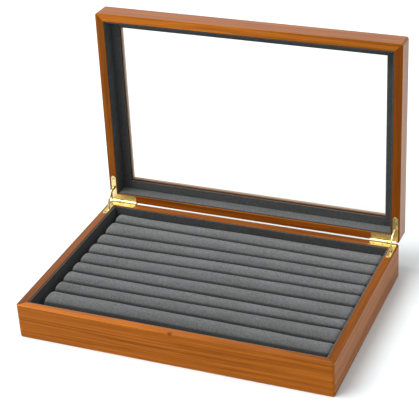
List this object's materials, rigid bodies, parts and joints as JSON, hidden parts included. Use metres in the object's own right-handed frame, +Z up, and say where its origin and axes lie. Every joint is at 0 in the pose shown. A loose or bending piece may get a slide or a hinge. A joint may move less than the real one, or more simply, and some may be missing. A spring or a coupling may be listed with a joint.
{
  "type": "display tray",
  "caption": "Flat wooden display tray with long velvet rolls and a glazed lid on brass side-rail hinges that stands open a little past upright.",
  "frame": {"origin": "centre of the flat underside of the base", "axes": "+X along the rolls to the right, +Y towards the hinged back, +Z up"},
  "size_m": [0.35, 0.264, 0.2728],
  "materials": {
    "stained_wood": "satin orange-brown stained pine",
    "floor_board": "matt stained board",
    "dark_fabric": "dark charcoal velveteen",
    "roll_velvet": "mid-grey velvet with a fine lengthwise nap",
    "brass": "polished pale brass",
    "glass": "clear float glass"
  },
  "bodies": {
    "base": {"base_back_rail": "stained_wood", "base_floor": "floor_board", "base_front_rail": "stained_wood", "base_left_rail": "stained_wood", "base_lining_back": "dark_fabric", "base_lining_front": "dark_fabric", "base_lining_left": "dark_fabric", "base_lining_right": "dark_fabric", "base_right_rail": "stained_wood", "insert_board": "dark_fabric", "left_hinge_base_leaf": "brass", "left_hinge_base_leaf_screw_1": "brass", "left_hinge_base_leaf_screw_2": "brass", "left_hinge_base_leaf_screw_3": "brass", "left_hinge_pin": "brass", "right_hinge_base_leaf": "brass", "right_hinge_base_leaf_screw_1": "brass", "right_hinge_base_leaf_screw_2": "brass", "right_hinge_base_leaf_screw_3": "brass", "right_hinge_pin": "brass", "velvet_roll_1": "roll_velvet", "velvet_roll_2": "roll_velvet", "velvet_roll_3": "roll_velvet", "velvet_roll_4": "roll_velvet", "velvet_roll_5": "roll_velvet", "velvet_roll_6": "roll_velvet", "velvet_roll_7": "roll_velvet", "velvet_roll_8": "roll_velvet", "velvet_roll_9": "roll_velvet"},
    "lid": {"glass_retainer_back": "dark_fabric", "glass_retainer_front": "dark_fabric", "glass_retainer_left": "dark_fabric", "glass_retainer_right": "dark_fabric", "left_hinge_lid_leaf": "brass", "left_hinge_lid_leaf_screw_1": "brass", "left_hinge_lid_leaf_screw_2": "brass", "left_hinge_lid_leaf_screw_3": "brass", "lid_back_rail": "stained_wood", "lid_front_rail": "stained_wood", "lid_glass": "glass", "lid_left_rail": "stained_wood", "lid_lining_back": "dark_fabric", "lid_lining_front": "dark_fabric", "lid_lining_left": "dark_fabric", "lid_lining_right": "dark_fabric", "lid_right_rail": "stained_wood", "right_hinge_lid_leaf": "brass", "right_hinge_lid_leaf_screw_1": "brass", "right_hinge_lid_leaf_screw_2": "brass", "right_hinge_lid_leaf_screw_3": "brass"},
    "left_stay": {"left_hinge_stay": "brass"},
    "right_stay": {"right_hinge_stay": "brass"}
  },
  "joints": [
    {"name": "lid_hinge", "type": "hinge", "parent": "base", "child": "lid", "pos_m": [0, 0.11695, 0.03975], "axis": [1, 0, 0], "range_deg": [0, 91.8]},
    {"name": "left_stay_slide", "type": "hinge", "parent": "base", "child": "left_stay", "pos_m": [0, 0.11695, 0.03975], "axis": [1, 0, 0], "range_deg": [0, 45.9]},
    {"name": "right_stay_slide", "type": "hinge", "parent": "base", "child": "right_stay", "pos_m": [0, 0.11695, 0.03975], "axis": [1, 0, 0], "range_deg": [0, 45.9]}
  ],
  "couplings": [
    {"joint": "left_stay_slide", "follows": "lid_hinge", "ratio": 0.5},
    {"joint": "right_stay_slide", "follows": "lid_hinge", "ratio": 0.5}
  ]
}
